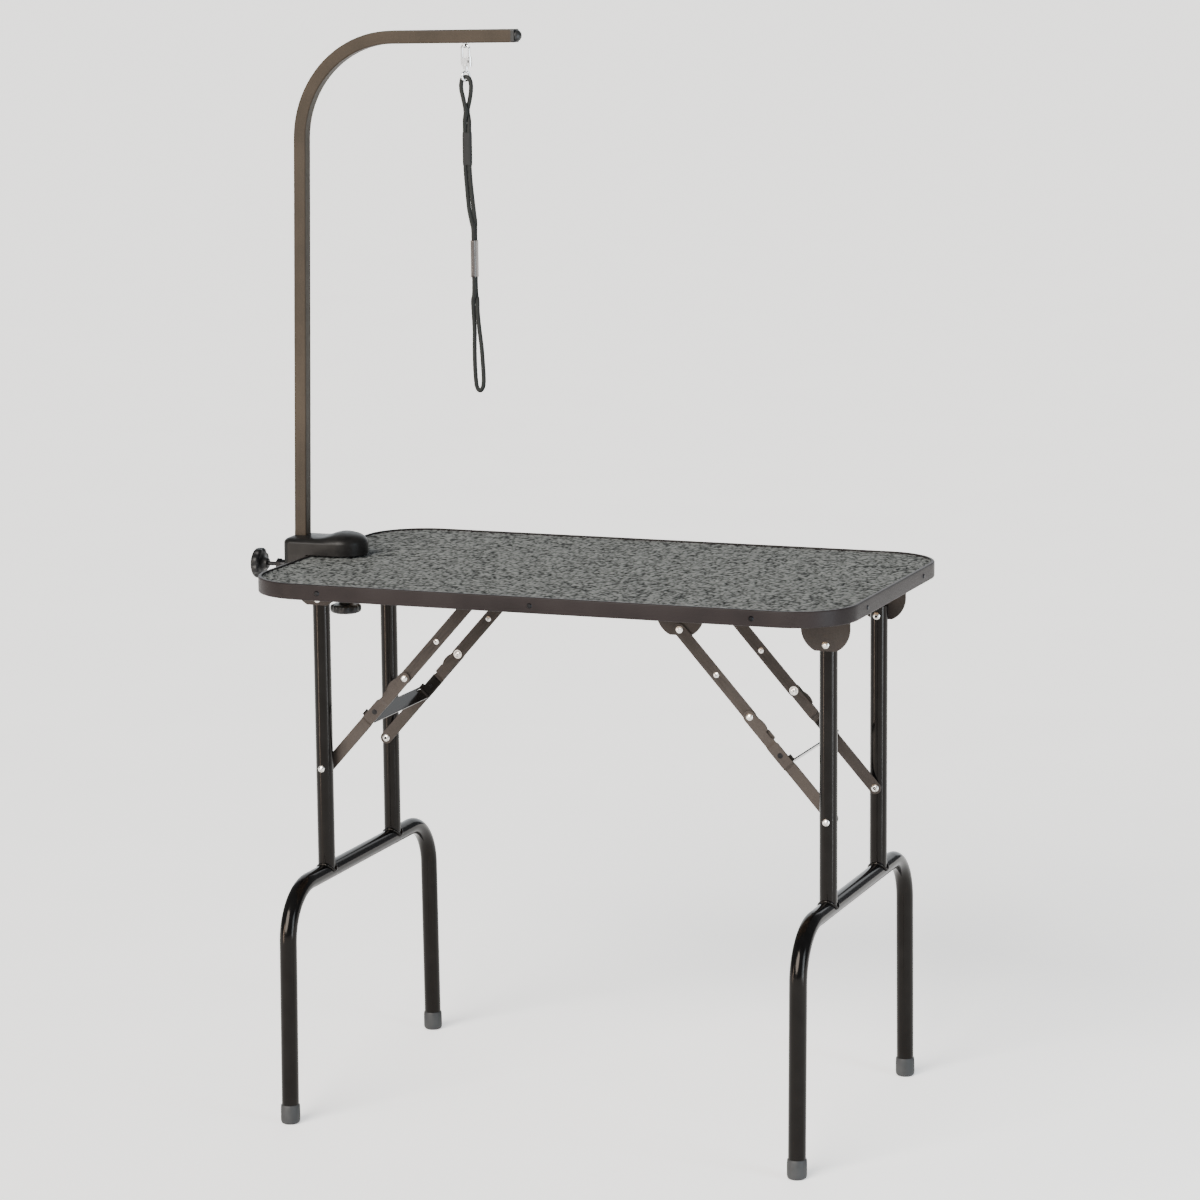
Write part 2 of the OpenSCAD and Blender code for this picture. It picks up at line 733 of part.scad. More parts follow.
module lock_knob() {
    color(black_c) translate([lock_knob_x + knob_t / 2 + 8, 0, lock_z]) rotate([0, 90, 0])
        knob_shape(lock_r);
}

// ---------- arm ----------

// One length of the arm's wall, in its own frame.
module arm_wall_section() {
    difference() {
        arm_section(arm_w, arm_r);
        arm_section(arm_w - 2 * arm_wall, 0.6);
    }
}

module arm_tube() {
    color(steel_c) translate([arm_x, 0, table_h]) rotate([0, arm_lean, 0]) {
        translate([0, 0, -arm_foot]) linear_extrude(arm_foot + arm_rise) arm_wall_section();
        translate([arm_bend_r, 0, arm_rise]) {
            mirror([1, 0, 0]) rotate([90, 0, 0]) rotate_extrude(angle = arm_bend, $fn = 180)
                translate([arm_bend_r, 0]) arm_wall_section();
            rotate([0, arm_bend, 0]) translate([-arm_bend_r, 0, 0])
                linear_extrude(arm_end) arm_wall_section();
        }
    }
}

// A plug with a cap plate, its cap on +Z.
module arm_plug(cap_t) {
    linear_extrude(cap_t) arm_section(arm_w, arm_r);
    translate([0, 0, -10]) linear_extrude(10) arm_section(arm_w - 2 * arm_wall - 0.1, 0.6);
}

module arm_end_cap() {
    button = [8.8, 7];       // radius and height of the domed button
    dome = (button[0] * button[0] + button[1] * button[1]) / (2 * button[1]);
    color(black_c) translate([bend_end[0], 0, bend_end[1]]) rotate([0, end_a, 0])
        translate([0, 0, arm_end]) {
            arm_plug(5);
            translate([0, 0, 5]) cylinder(h = 1, r = 7.4);
            translate([0, 0, 6]) intersection() {
                cylinder(h = button[1], r = button[0]);
                translate([0, 0, button[1] - dome]) sphere(dome, $fn = 64);
            }
        }
}

module arm_foot_plug() {
    color(black_c) translate([arm_x, 0, table_h]) rotate([0, arm_lean, 0])
        translate([0, 0, -arm_foot]) rotate([180, 0, 0]) arm_plug(2.5);
}

module arm_eye() {
    color("silver") difference() {
        translate([eye_x, 0, eye_z]) {
            translate([0, eye_flat, -eye_r]) rotate([90, 0, 0])
                cylinder(h = 2 * eye_flat, r = eye_wire);
            for (m = [0, 1]) mirror([0, m, 0]) {
                translate([0, eye_flat, -eye_flat]) rotate([90, 0, 90]) rotate([0, 0, -90])
                    rotate_extrude(angle = 90) translate([eye_r - eye_flat, 0]) circle(eye_wire);
                translate([0, eye_r, -eye_flat]) cylinder(h = 1 + eye_flat, r = eye_wire);
            }
        }
        translate([bend_end[0], 0, bend_end[1]]) rotate([0, end_a, 0])
            linear_extrude(arm_end) arm_section(arm_w, arm_r);
    }
}

// ---------- snap hook ----------

module snap_body() {
    color("silver") difference() {
        union() {
            translate([eye_x, 0, hook_z]) rotate([90, 0, 0]) rotate_extrude(angle = 180)
                translate([hook_r, 0]) circle(hook_wire, $fn = 24);
            translate([eye_x - hook_r, 0, barrel_bottom + 2])
                cylinder(h = hook_z - barrel_bottom - 2, r = hook_wire, $fn = 24);
            translate([bolt_x, 0, hook_z - 1.5]) cylinder(h = 1.5, r = hook_wire, $fn = 24);
            translate([bolt_x, 0, barrel_bottom]) cylinder(h = barrel_top - barrel_bottom, r = barrel_r);
            translate([eye_x - hook_r, -hook_wire, barrel_bottom])
                cube([2 * hook_r, 2 * hook_wire, barrel_top - barrel_bottom - 2]);
            translate([eye_x, 0, swivel_z]) cylinder(h = barrel_bottom - swivel_z + 2, r = barrel_r);
        }
        translate([bolt_x, 0, barrel_bottom + 1.5]) cylinder(h = 30, r = 1.7 + pin_clear);
        translate([bolt_x - 1.3, -8, barrel_bottom + 5])
            cube([2.6, 8, barrel_top - barrel_bottom - 6.5]);
        translate([eye_x, 0, swivel_z - 1]) cylinder(h = 5, r = ring_wire + pin_clear);
    }
}

bolt_foot = barrel_bottom + 9.5;

module snap_bolt() {
    color("silver") {
        translate([bolt_x, 0, bolt_foot]) cylinder(h = hook_z - 1.6 - bolt_foot, r = 1.7);
        translate([bolt_x, 0, bolt_foot + 1.6]) rotate([90, 0, 0]) cylinder(h = 6.5, r = 1.1);
        translate([bolt_x, -6, bolt_foot + 1.6]) rotate([90, 0, 0]) cylinder(h = 1.2, r = 2.2);
    }
}

module snap_spring() {
    turns = 4;
    wire = 0.3;
    low = barrel_bottom + 1.5 + wire;
    high = bolt_foot - wire;
    color("silver") translate([bolt_x, 0, 0]) tube([for (a = [0:30:360 * turns])
        [1.2 * cos(a), 1.2 * sin(a), low + (high - low) * a / (360 * turns)]], wire, 6);
}

ring_turn = -35;         // the ring stands turned about its stem

module snap_ring() {
    color("silver") translate([eye_x, 0, ring_z]) {
        rotate([0, 0, ring_turn]) rotate([90, 0, 90]) rotate_extrude()
            translate([ring_r, 0]) circle(ring_wire, $fn = 24);
        translate([0, 0, ring_r]) cylinder(h = swivel_z + 3.5 - ring_z - ring_r, r = ring_wire);
    }
}

// ---------- noose ----------

// Point k steps of n along the smooth curve through a, b, c, d, between b and c.
function smooth(a, b, c, d, t) = 0.5 * ((2 * b) + (c - a) * t + (2 * a - 5 * b + 4 * c - d) * t * t
    + (3 * b - a - 3 * c + d) * t * t * t);

function fine(route) = let (n = len(route)) concat(
    [for (i = [0:n - 2], k = [0:norm(route[i + 1] - route[i]) > ring_step ? 1 : 0])
        k == 0 ? route[i] : smooth(route[max(i - 1, 0)], route[i], route[i + 1],
            route[min(i + 2, n - 1)], 0.5)], [route[n - 1]]);

// Tube of radius r swept along points, with flat ends.
module tube(points, r, sides) {
    n = len(points);
    rings = [for (i = [0:n - 1]) let (
        d = points[min(i + 1, n - 1)] - points[max(i - 1, 0)], t = d / norm(d),
        flat = abs(t[1]) > 0.8 ? [0, 0, 1] : [0, 1, 0],
        u0 = cross(t, flat), u = u0 / norm(u0), v = cross(t, u))
        for (k = [0:sides - 1]) points[i] + r * (cos(360 * k / sides) * u + sin(360 * k / sides) * v)];
    polyhedron(rings, concat(
        [[for (k = [0:sides - 1]) k]],
        [for (i = [0:n - 2], k = [0:sides - 1]) let (a = i * sides, j = (k + 1) % sides)
            [a + k, a + sides + k, a + sides + j, a + j]],
        [[for (k = [sides - 1:-1:0]) (n - 1) * sides + k]]));
}

module noose_cord() { color(black_c) tube(fine(noose_route), cord_d / 2, cord_sides); }

// Stadium that wraps the two strands, with its length along X.
module strands_wrap(r) {
    square([2 * strand, 2 * r], center = true);
    for (x = [-1, 1]) translate([x * strand, 0]) circle(r);
}

module noose_sleeve() {
    color("dimgray") translate([noose_x, 0, sleeve_z[0]]) linear_extrude(sleeve_z[1] - sleeve_z[0])
        difference() {
            strands_wrap(cord_d / 2 + 0.8);
            strands_wrap(cord_d / 2 + 0.05);
        }
}

module noose_slider() {
    color("slategray") translate([slider_x, 0, slider_z[0]]) rotate([0, 0, 90])
        linear_extrude(slider_z[1] - slider_z[0]) difference() {
            strands_wrap(cord_d / 2 + 1.4);
            strands_wrap(cord_d / 2 + 0.3);
        }
}

board();
mat();
edge_rim();
rim_screws();
bracket_screws();
leg_brackets(-1);  // left_leg_brackets
brace_brackets(-1);  // left_brace_brackets
bracket_rivets(-1);  // left_bracket_rivets
uprights(-1);  // left_uprights
leg_tube(-1);  // left_leg_tube
weld_beads(-1);  // left_weld_beads
feet(-1);  // left_feet
brace_rivets(-1);  // left_brace_rivets
brace_washers(-1);  // left_brace_washers
upper_links(-1);  // left_upper_links
link_studs(-1);  // left_link_studs
lower_links(-1);  // left_lower_links
knuckle_rivets(-1);  // left_knuckle_rivets
cross_plate(-1);  // left_cross_plate
plate_screws(-1);  // left_plate_screws
leg_brackets(1);  // right_leg_brackets
brace_brackets(1);  // right_brace_brackets
bracket_rivets(1);  // right_bracket_rivets
uprights(1);  // right_uprights
leg_tube(1);  // right_leg_tube
weld_beads(1);  // right_weld_beads
feet(1);  // right_feet
brace_rivets(1);  // right_brace_rivets
brace_washers(1);  // right_brace_washers
upper_links(1);  // right_upper_links
link_studs(1);  // right_link_studs
lower_links(1);  // right_lower_links
knuckle_rivets(1);  // right_knuckle_rivets
cross_plate(1);  // right_cross_plate
plate_screws(1);  // right_plate_screws
clamp_frame();
clamp_cover();
cover_screws();
jaw_pad();
clamp_screw();
clamp_knob();
swivel_pad();
lock_boss();
lock_screw();
lock_knob();
lock_tip();
arm_tube();
arm_end_cap();
arm_foot_plug();
arm_eye();
snap_body();
snap_bolt();
snap_spring();
snap_ring();
noose_cord();
noose_sleeve();
noose_slider();
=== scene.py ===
import json
import math

import bmesh
import bpy
from mathutils import Matrix, Vector, noise


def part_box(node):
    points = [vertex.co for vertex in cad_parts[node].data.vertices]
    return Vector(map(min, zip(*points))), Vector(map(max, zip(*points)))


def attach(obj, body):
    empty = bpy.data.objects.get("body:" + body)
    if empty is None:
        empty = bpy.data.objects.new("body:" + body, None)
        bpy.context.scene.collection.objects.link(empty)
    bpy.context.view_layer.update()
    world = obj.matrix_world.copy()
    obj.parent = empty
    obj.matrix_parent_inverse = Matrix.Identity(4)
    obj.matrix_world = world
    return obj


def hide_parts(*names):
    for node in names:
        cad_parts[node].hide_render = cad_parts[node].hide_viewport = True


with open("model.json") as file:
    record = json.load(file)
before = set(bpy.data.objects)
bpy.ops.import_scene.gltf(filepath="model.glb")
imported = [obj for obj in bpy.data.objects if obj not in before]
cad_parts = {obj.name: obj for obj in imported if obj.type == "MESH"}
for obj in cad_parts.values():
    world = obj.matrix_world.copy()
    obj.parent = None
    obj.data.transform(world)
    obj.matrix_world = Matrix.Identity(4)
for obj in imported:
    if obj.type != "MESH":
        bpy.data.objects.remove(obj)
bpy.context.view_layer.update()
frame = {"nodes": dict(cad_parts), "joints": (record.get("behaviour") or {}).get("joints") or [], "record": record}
nodes = frame["nodes"]
joints = {j["name"]: j for j in frame["joints"]}
MM = 0.001
SIDES = ("left", "right")


# ---------- camera ----------

def aim_camera(at, yaw, pitch, roll, lens):
    """A camera at a point, turned by yaw about Z, then pitched and rolled, in radians."""
    forward = Vector((-math.sin(yaw) * math.cos(pitch), math.cos(yaw) * math.cos(pitch), math.sin(pitch)))
    level = Vector((math.cos(yaw), math.sin(yaw), 0))
    upright = level.cross(forward)
    right = math.cos(roll) * level + math.sin(roll) * upright
    up = math.cos(roll) * upright - math.sin(roll) * level
    camera = bpy.data.objects.new("camera", bpy.data.cameras.new("camera"))
    camera.data.sensor_width = 36
    camera.data.lens = lens
    camera.data.clip_end = 500
    camera.matrix_world = Matrix.Translation(at) @ Matrix((right, up, -forward)).transposed().to_4x4()
    bpy.context.scene.collection.objects.link(camera)
    bpy.context.scene.camera = camera


aim_camera((2.0357, -5.2990, 1.7394), 0.3665, -0.1723, -0.0089, 118.98)


# ---------- materials ----------

class Shader:
    """A node material on object coordinates, which are the frame's own metres."""

    def __init__(self, name):
        self.material = bpy.data.materials.new(name)
        self.material.use_nodes = True
        self.tree = self.material.node_tree
        self.surface = self.tree.nodes["Principled BSDF"]
        self.place = self.node("TexCoord").outputs["Object"]

    def node(self, kind, inputs=(), **settings):
        made = self.tree.nodes.new("ShaderNode" + kind)
        for key, value in settings.items():
            setattr(made, key, value)
        for key, value in dict(inputs).items():
            self.put(made, key, value)
        return made

    def put(self, node, key, value):
        if isinstance(value, bpy.types.NodeSocket):
            self.tree.links.new(value, node.inputs[key])
        else:
            node.inputs[key].default_value = value

    def stretched(self, scale):
        return self.node("Mapping", {"Vector": self.place, "Scale": scale}).outputs[0]

    def noise(self, scale, detail=3.0, stretch=(1, 1, 1), rough=0.5):
        made = self.node("TexNoise", {"Vector": self.stretched(stretch), "Scale": scale,
                                      "Detail": detail, "Roughness": rough})
        return made.outputs["Fac"]

    def cells(self, scale, stretch=(1, 1, 1)):
        made = self.node("TexVoronoi", {"Vector": self.stretched(stretch), "Scale": scale},
                         feature="SMOOTH_F1")
        return made.outputs["Distance"]

    def blend(self, low, high, factor, low_at=0.3, high_at=0.7):
        """A value or colour from low to high as factor goes from low_at to high_at."""
        made = self.node("ValToRGB", {"Fac": factor})
        for stop, at, value in zip(made.color_ramp.elements, (low_at, high_at), (low, high)):
            stop.position = at
            stop.color = (*value, 1) if isinstance(value, tuple) else (value, value, value, 1)
        return made.outputs["Color"]

    def maths(self, operation, a, b):
        made = self.node("Math", operation=operation)
        self.put(made, 0, a)
        self.put(made, 1, b)
        return made.outputs[0]

    def mix(self, a, b, share):
        """A factor made of a, with a share of b."""
        return self.maths("ADD", self.maths("MULTIPLY", a, 1 - share), self.maths("MULTIPLY", b, share))

    def bump(self, height, depth, under=None):
        inputs = {"Height": height, "Distance": depth, "Strength": 1.0}
        if under:
            inputs["Normal"] = under
        return self.node("Bump", inputs).outputs[0]

    def finish(self, **inputs):
        for key, value in inputs.items():
            self.put(self.surface, key.replace("_", " "), value)
        return self.material


def powder_coat(name, dark, light, rough=(0.42, 0.56), gloss=0.16):
    """Fine-textured baked paint: a speckle, slow colour drift and an orange-peel relief."""
    s = Shader(name)
    speckle = s.mix(s.noise(1500, 2), s.noise(14, 2), 0.35)
    grain = s.bump(s.noise(1100, 3), 0.08 * MM)
    return s.finish(Base_Color=s.blend(dark, light, speckle, 0.36, 0.62), Normal=grain,
                    Specular_IOR_Level=gloss, Roughness=s.blend(*rough, s.noise(420, 2)))


def satin_black(name, dark, light, rough=(0.12, 0.16)):
    """Near-black enamel over drawn tube, whose gloss is brownish."""
    s = Shader(name)
    return s.finish(Base_Color=s.blend(dark, light, s.noise(40, 3)), Specular_IOR_Level=0.14,
                    Specular_Tint=(1.0, 0.9, 0.82, 1.0), Roughness=s.blend(*rough, s.noise(35, 3)),
                    Normal=s.bump(s.noise(900, 2), 0.012 * MM))


def bright_metal(name, dark, light, rough):
    """Plated steel with fine polishing marks and duller patches."""
    s = Shader(name)
    return s.finish(Base_Color=s.blend(dark, light, s.noise(160, 3)), Metallic=1.0,
                    Roughness=s.blend(*rough, s.noise(700, 4, (1, 1, 0.2))),
                    Normal=s.bump(s.noise(1600, 2, (1, 1, 0.25)), 0.02 * MM))


def moulded(name, dark, light, rough, gloss=0.3):
    """Moulded plastic or rubber with a fine spark-eroded grain."""
    s = Shader(name)
    return s.finish(Base_Color=s.blend(dark, light, s.noise(45, 4)), Specular_IOR_Level=gloss,
                    Roughness=s.blend(*rough, s.noise(90, 3)), Normal=s.bump(s.cells(1300), 0.03 * MM))


def mat_rubber():
    """Rubber whose modelled creases are darkened with painted shade and whose ridges are paled with a painted
    highlight.
    """
    s = Shader("mat_rubber")
    crease = s.node("Attribute", attribute_name="crease").outputs["Fac"]
    # Painted shade in the creases and a painted highlight on the ridges, with a little random mottle mixed in.
    painted_relief_light_and_mottle = s.mix(crease, s.noise(260, 4), 0.2)
    grain = s.bump(s.cells(900), 0.12 * MM, under=s.bump(s.noise(330, 4), 0.3 * MM))
    return s.finish(Base_Color=s.blend((0.0062, 0.0074, 0.0071), (0.162, 0.169, 0.163), painted_relief_light_and_mottle, 0.36, 0.78),
                    Roughness=s.blend(0.9, 0.72, painted_relief_light_and_mottle, 0.3, 0.8), Specular_IOR_Level=0.1, Normal=grain)


def fabric(name, dark, light, across):
    """Braided or woven yarn: fine crossing threads on top of the modelled relief."""
    s = Shader(name)
    threads = s.maths("MULTIPLY", s.noise(across, 2, (1, 1, 0.5)), s.noise(across * 0.7, 3, (1, 1, 1.6)))
    return s.finish(Base_Color=s.blend(dark, light, threads, 0.14, 0.42),
                    Roughness=s.blend(0.7, 0.9, threads), Specular_IOR_Level=0.25,
                    Sheen_Weight=0.1, Sheen_Roughness=0.4, Normal=s.bump(threads, 0.3 * MM))


def smoke_plastic():
    """Clear brown plastic, smoky in the middle, with painted light making its edges paler."""
    s = Shader("smoke_plastic")
    # The paler edges from Facing are painted light; the streaks are the plastic's own uneven tone.
    edge = s.node("LayerWeight", {"Blend": 0.35}).outputs["Facing"]
    painted_edge_light_and_streaks = s.mix(edge, s.noise(150, 3, (1, 1, 0.3)), 0.3)
    return s.finish(Base_Color=s.blend((0.035, 0.024, 0.019), (0.30, 0.23, 0.19), painted_edge_light_and_streaks, 0.3, 0.8),
                    Roughness=s.blend(0.08, 0.2, s.noise(200, 3)), Transmission_Weight=0.45, IOR=1.48,
                    Coat_Weight=0.5, Normal=s.bump(s.noise(240, 2, (1, 1, 0.3)), 0.1 * MM))


def plywood():
    """Bare wood with its grain along the table."""
    s = Shader("plywood")
    rings = s.noise(26, 5, (0.12, 1, 1), 0.6)
    return s.finish(Base_Color=s.blend((0.20, 0.12, 0.065), (0.36, 0.24, 0.14), rings),
                    Roughness=s.blend(0.55, 0.75, s.noise(90, 4, (0.2, 1, 1))),
                    Normal=s.bump(s.noise(300, 4, (0.1, 1, 1)), 0.15 * MM))


finishes = {
    "deck": plywood(),
    "mat": mat_rubber(),
    "rim_paint": powder_coat("rim_paint", (0.0083, 0.0064, 0.0064), (0.0191, 0.0155, 0.0153),
                             (0.34, 0.48), 0.07),
    "steel_paint": powder_coat("steel_paint", (0.0170, 0.0132, 0.0112), (0.0390, 0.0318, 0.0272)),
    "leg_paint": satin_black("leg_paint", (0.0014, 0.0014, 0.0015), (0.0032, 0.0032, 0.0032)),
    "arm_paint": powder_coat("arm_paint", (0.0152, 0.0107, 0.0063), (0.0354, 0.0260, 0.0169)),
    "rivet_steel": bright_metal("rivet_steel", (0.50, 0.48, 0.45), (0.74, 0.72, 0.69), (0.18, 0.36)),
    "dark_screw": bright_metal("dark_screw", (0.0090, 0.0090, 0.0099), (0.0225, 0.0225, 0.0234),
                               (0.3, 0.5)),
    "screw_steel": bright_metal("screw_steel", (0.36, 0.36, 0.37), (0.58, 0.58, 0.57), (0.24, 0.42)),
    "foot_rubber": moulded("foot_rubber", (0.012, 0.013, 0.014), (0.026, 0.027, 0.028), (0.5, 0.66)),
    "cover_plastic": moulded("cover_plastic", (0.0045, 0.0043, 0.0041), (0.0095, 0.0090, 0.0086),
                             (0.32, 0.44), 0.13),
    "knob_plastic": moulded("knob_plastic", (0.0035, 0.0036, 0.0038), (0.0085, 0.0085, 0.0087),
                            (0.34, 0.46), 0.2),
    "cap_plastic": moulded("cap_plastic", (0.006, 0.0064, 0.0066), (0.014, 0.0142, 0.0142), (0.28, 0.42)),
    "chrome": bright_metal("chrome", (0.55, 0.55, 0.55), (0.78, 0.78, 0.77), (0.06, 0.18)),
    "cord": fabric("cord", (0.0018, 0.0023, 0.0020), (0.0095, 0.0110, 0.0098), 1500),
    "sleeve": fabric("sleeve", (0.0034, 0.0036, 0.0036), (0.0125, 0.0128, 0.0128), 1100),
    "slider": smoke_plastic(),
}


# ---------- making pieces ----------

SHARP = math.radians(38)


class Shape:
    """Vertices and faces of one piece, gathered part by part."""

    def __init__(self):
        self.verts, self.faces = [], []

    def rings(self, rings, ends=True, loop=False):
        """Skins closed rings of equal length, in order, and caps the two ends."""
        start, n = len(self.verts), len(rings[0])
        for ring in rings:
            self.verts += [tuple(p) for p in ring]
        for i in range(len(rings) if loop else len(rings) - 1):
            a, b = start + i * n, start + (i + 1) % len(rings) * n
            self.faces += [(a + k, a + (k + 1) % n, b + (k + 1) % n, b + k) for k in range(n)]
        if ends and not loop:
            last = start + (len(rings) - 1) * n
            self.faces += [tuple(range(start + n - 1, start - 1, -1)), tuple(range(last, last + n))]
        return self

    def lathe(self, profile, place, count=48, radius=lambda a, r, z: r):
        """Turns (r, z) points about local Z and puts the result at a matrix."""
        turns = [2 * math.pi * k / count for k in range(count)]
        return self.rings([[place @ Vector((radius(a, r, z) * math.cos(a), radius(a, r, z) * math.sin(a), z))
                            for a in turns] for r, z in profile])

    def sweep(self, points, radius, sides, loop=False, relief=lambda s, a: 0.0):
        """A tube along points, with relief(distance along, angle round) added to its radius."""
        n = len(points)
        normal, along, rings = None, 0.0, []
        for i, p in enumerate(points):
            before, after = (points[i - 1], points[(i + 1) % n]) if loop else \
                (points[max(i - 1, 0)], points[min(i + 1, n - 1)])
            t = (after - before).normalized()
            guess = normal or t.orthogonal()
            normal = (guess - guess.dot(t) * t).normalized()
            other = t.cross(normal)
            along += (p - points[i - 1]).length if i else 0.0
            rings.append([p + (radius + relief(along, a)) * (math.cos(a) * normal + math.sin(a) * other)
                          for a in (2 * math.pi * k / sides for k in range(sides))])
        return self.rings(rings, loop=loop)

    def piece(self, name, body, slot, *replaced):
        """Makes the object, smooth by angle, riding on a body in place of CAD nodes."""
        mesh = bpy.data.meshes.new(name)
        mesh.from_pydata(self.verts, [], self.faces)
        made = bpy.data.objects.new(name, mesh)
        bpy.context.scene.collection.objects.link(made)
        b = bmesh.new()
        b.from_mesh(mesh)
        bmesh.ops.remove_doubles(b, verts=b.verts, dist=1e-6)
        bmesh.ops.recalc_face_normals(b, faces=b.faces)
        b.to_mesh(mesh)
        b.free()
        mesh.shade_smooth()
        mesh.set_sharp_from_angle(angle=SHARP)
        mesh.materials.append(finishes[slot])
        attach(made, body)
        if replaced:
            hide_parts(*replaced)
        return made


def carve(piece, shape):
    """Cuts a shape out of a piece."""
    tool = bpy.data.objects.new("tool", bpy.data.meshes.new("tool"))
    tool.data.from_pydata(shape.verts, [], shape.faces)
    bpy.context.scene.collection.objects.link(tool)
    cut = piece.modifiers.new("cut", "BOOLEAN")
    cut.object, cut.operation, cut.solver = tool, "DIFFERENCE", "EXACT"
    with bpy.context.temp_override(object=piece, active_object=piece, selected_objects=[piece]):
        bpy.ops.object.modifier_apply(modifier="cut")
    piece.data.set_sharp_from_angle(angle=SHARP)
    bpy.data.objects.remove(tool)


def arc(x, y, r, start, end, count):
    """Points of an arc in the plane, angles in degrees."""
    return [(x + r * math.cos(math.radians(start + (end - start) * k / count)),
             y + r * math.sin(math.radians(start + (end - start) * k / count))) for k in range(count + 1)]


def soften(name, width):
    """Rounds the edges of a CAD node that keeps its shape."""
    node = nodes[name]
    weld = node.modifiers.new("weld", "WELD")
    weld.merge_threshold = 1e-6
    bevel = node.modifiers.new("edges", "BEVEL")
    bevel.width, bevel.segments = width, 3
    bevel.limit_method, bevel.angle_limit = "ANGLE", math.radians(50)
    bevel.use_clamp_overlap = True
    node.modifiers.new("normals", "WEIGHTED_NORMAL").keep_sharp = True


# ---------- finishes of the CAD nodes ----------

slot_of = {part["node"]: part["material_slot"] for part in frame["record"]["subparts"]}
for name, node in nodes.items():
    node.data.materials.clear()
    node.data.materials.append(finishes[slot_of[name]])


# ---------- noose ----------

# The cord's route in metres, from inside the sleeve up through the ring, down to the
# bottom loop and back up into the sleeve.
ROUTE = [Vector(p) * MM for p in (
    (-200.3, 0, 1401), (-200.3, 0, 1426), (-199.5, -2, 1442), (-197.5, -3.4, 1456),
    (-201, -2, 1472), (-205, 0, 1486), (-205, 0, 1496), (-202.4, 0, 1502.6), (-197.7, 0, 1504.4),
    (-193, 0, 1502.6), (-190.4, 0, 1496), (-190, 0, 1486), (-193, 2, 1472), (-197, 3.4, 1456),
    (-194.5, 2, 1442), (-193.7, 0, 1426), (-193.7, 0, 1374), (-191.7, 0, 1345),
    (-188.7, 0.5, 1315), (-187.3, 2.6, 1295), (-188, 3.3, 1280), (-188, 3.3, 1200),
    (-185.5, 2, 1183), (-184.3, 0, 1165), (-182, 0, 1140), (-179, 0, 1115), (-177.3, 0, 1090),
    (-176.3, 0, 1068), (-177.8, 0, 1056), (-182.3, 0, 1051.5), (-186.8, 0, 1056),
    (-188.7, 0, 1068), (-189.8, 0, 1090), (-190, 0, 1115), (-189.6, 0, 1140),
    (-190.9, 0, 1165), (-190.5, -2, 1183), (-188, -3.3, 1200), (-188, -3.3, 1280),
    (-190.5, -2.6, 1295), (-195.3, -0.5, 1315), (-198.3, 0, 1345), (-200.3, 0, 1374),
    (-200.3, 0, 1397))]
CORD_D = 6.4 * MM


def smooth_line(points, step):
    """A curve through the points, with a point about every step."""
    made = []
    for i in range(len(points) - 1):
        a, b, c, d = (points[max(i - 1, 0)], points[i], points[i + 1], points[min(i + 2, len(points) - 1)])
        count = max(2, round((c - b).length / step))
        for k in range(count):
            t = k / count
            made.append(0.5 * (2 * b + (c - a) * t + (2 * a - 5 * b + 4 * c - d) * t * t
                               + (3 * b - a - 3 * c + d) * t ** 3))
    return made + [points[-1]]


def braid(along, angle):
    """Relief of twelve yarn bundles, six wound each way."""
    turn = along / (7.5 * MM) * 2 * math.pi
    return 0.22 * MM * max(math.cos(6 * angle + turn), math.cos(6 * angle - turn)) - 0.18 * MM


line = smooth_line(ROUTE, 0.9 * MM)
cord = Shape().sweep(line, CORD_D / 2, 24, relief=braid).piece("noose_braid", "noose", "cord", "noose_cord")


def wrap(node, thick_axis, wall, name, body, slot, relief):
    """A flat sleeve round both strands, in the place of a CAD node, open at its ends."""
    low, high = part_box(node)
    middle = (low + high) / 2
    half = (high - low) / 2
    long_axis = 1 - thick_axis
    r, offset = half[thick_axis], half[long_axis] - half[thick_axis]
    steps, sides = 72, 64

    def ring(z, grow, inset):
        points = []
        for k in range(sides):
            a = 2 * math.pi * k / sides
            out = r - inset + grow
            p = [0.0, 0.0, z]
            p[long_axis] = middle[long_axis] + out * math.cos(a) + math.copysign(offset, math.cos(a))
            p[thick_axis] = middle[thick_axis] + out * math.sin(a)
            points.append(p)
        return points

    heights = [low.z + (high.z - low.z) * k / steps for k in range(steps + 1)]
    outer = [ring(z, relief(k / steps), 0) for k, z in enumerate(heights)]
    inner = [ring(z, 0, wall) for z in reversed(heights)]
    return Shape().rings(outer + inner, loop=True).piece(name, body, slot, node)


sleeve = wrap("noose_sleeve", 1, 0.6 * MM, "noose_webbing", "noose", "sleeve",
              lambda t: 0.12 * MM * math.cos(t * 2 * math.pi * 24) - 0.3 * MM * (2 * t - 1) ** 8)
slider = wrap("noose_slider", 0, 0.9 * MM, "noose_clear_slider", "slider", "slider",
              lambda t: 0.2 * MM * (2 * t - 1) ** 12 - 0.1 * MM)


# ---------- table top ----------

def rim_outline(inset, corner_steps=28):
    """Points and outward normals round the table's rounded rectangle, set in from its edge."""
    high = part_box("edge_rim")[1]
    corner = 90 * MM
    outline = []
    for quarter, (sx, sy) in enumerate(((1, 1), (-1, 1), (-1, -1), (1, -1))):
        centre = Vector((sx * (high.x - corner), sy * (high.y - corner)))
        for k in range(corner_steps + 1):
            a = math.pi / 2 * (quarter + k / corner_steps)
            normal = Vector((math.cos(a), math.sin(a)))
            outline.append((centre + (corner - inset) * normal, normal))
    return outline


